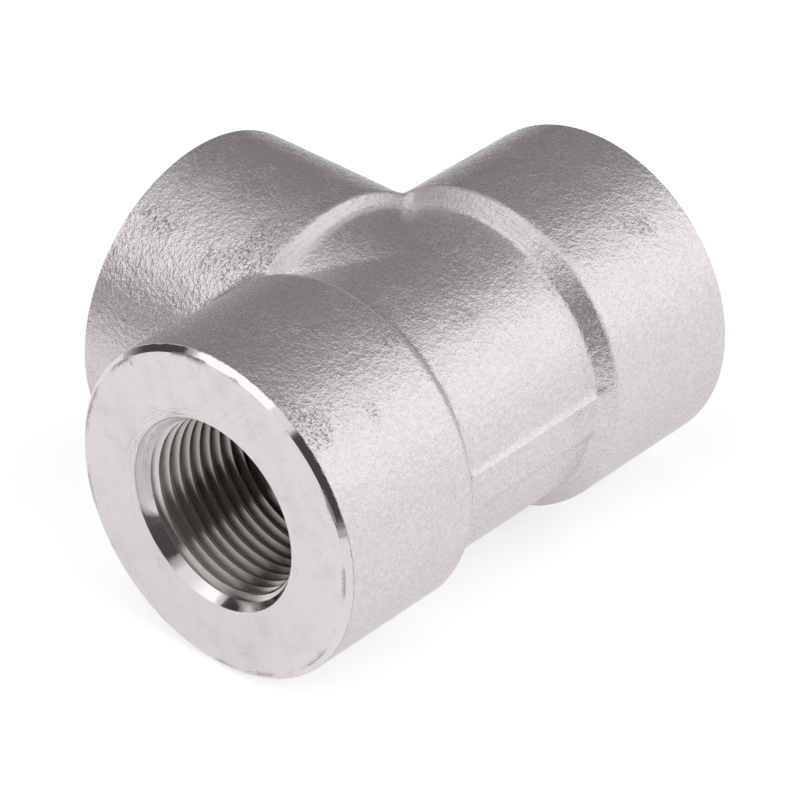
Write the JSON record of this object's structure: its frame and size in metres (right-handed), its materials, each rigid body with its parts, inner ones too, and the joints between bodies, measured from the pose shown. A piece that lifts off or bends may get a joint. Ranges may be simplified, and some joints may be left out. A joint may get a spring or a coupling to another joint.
{
  "type": "threaded pipe tee",
  "caption": "Forged steel pipe tee: a straight run and a branch at right angles, each port a countersunk taper-threaded hole in a thick round band.",
  "frame": {"origin": "where the centre lines of the run and the branch cross", "axes": "+X along the run, +Y out of the branch, +Z at right angles to both, across the plane where the forging dies met"},
  "size_m": [0.076, 0.0613, 0.0466],
  "materials": {
    "forged_steel": "blasted forged stainless steel with machined ends"
  },
  "bodies": {
    "root": {"tee_body": "forged_steel"}
  },
  "joints": []
}
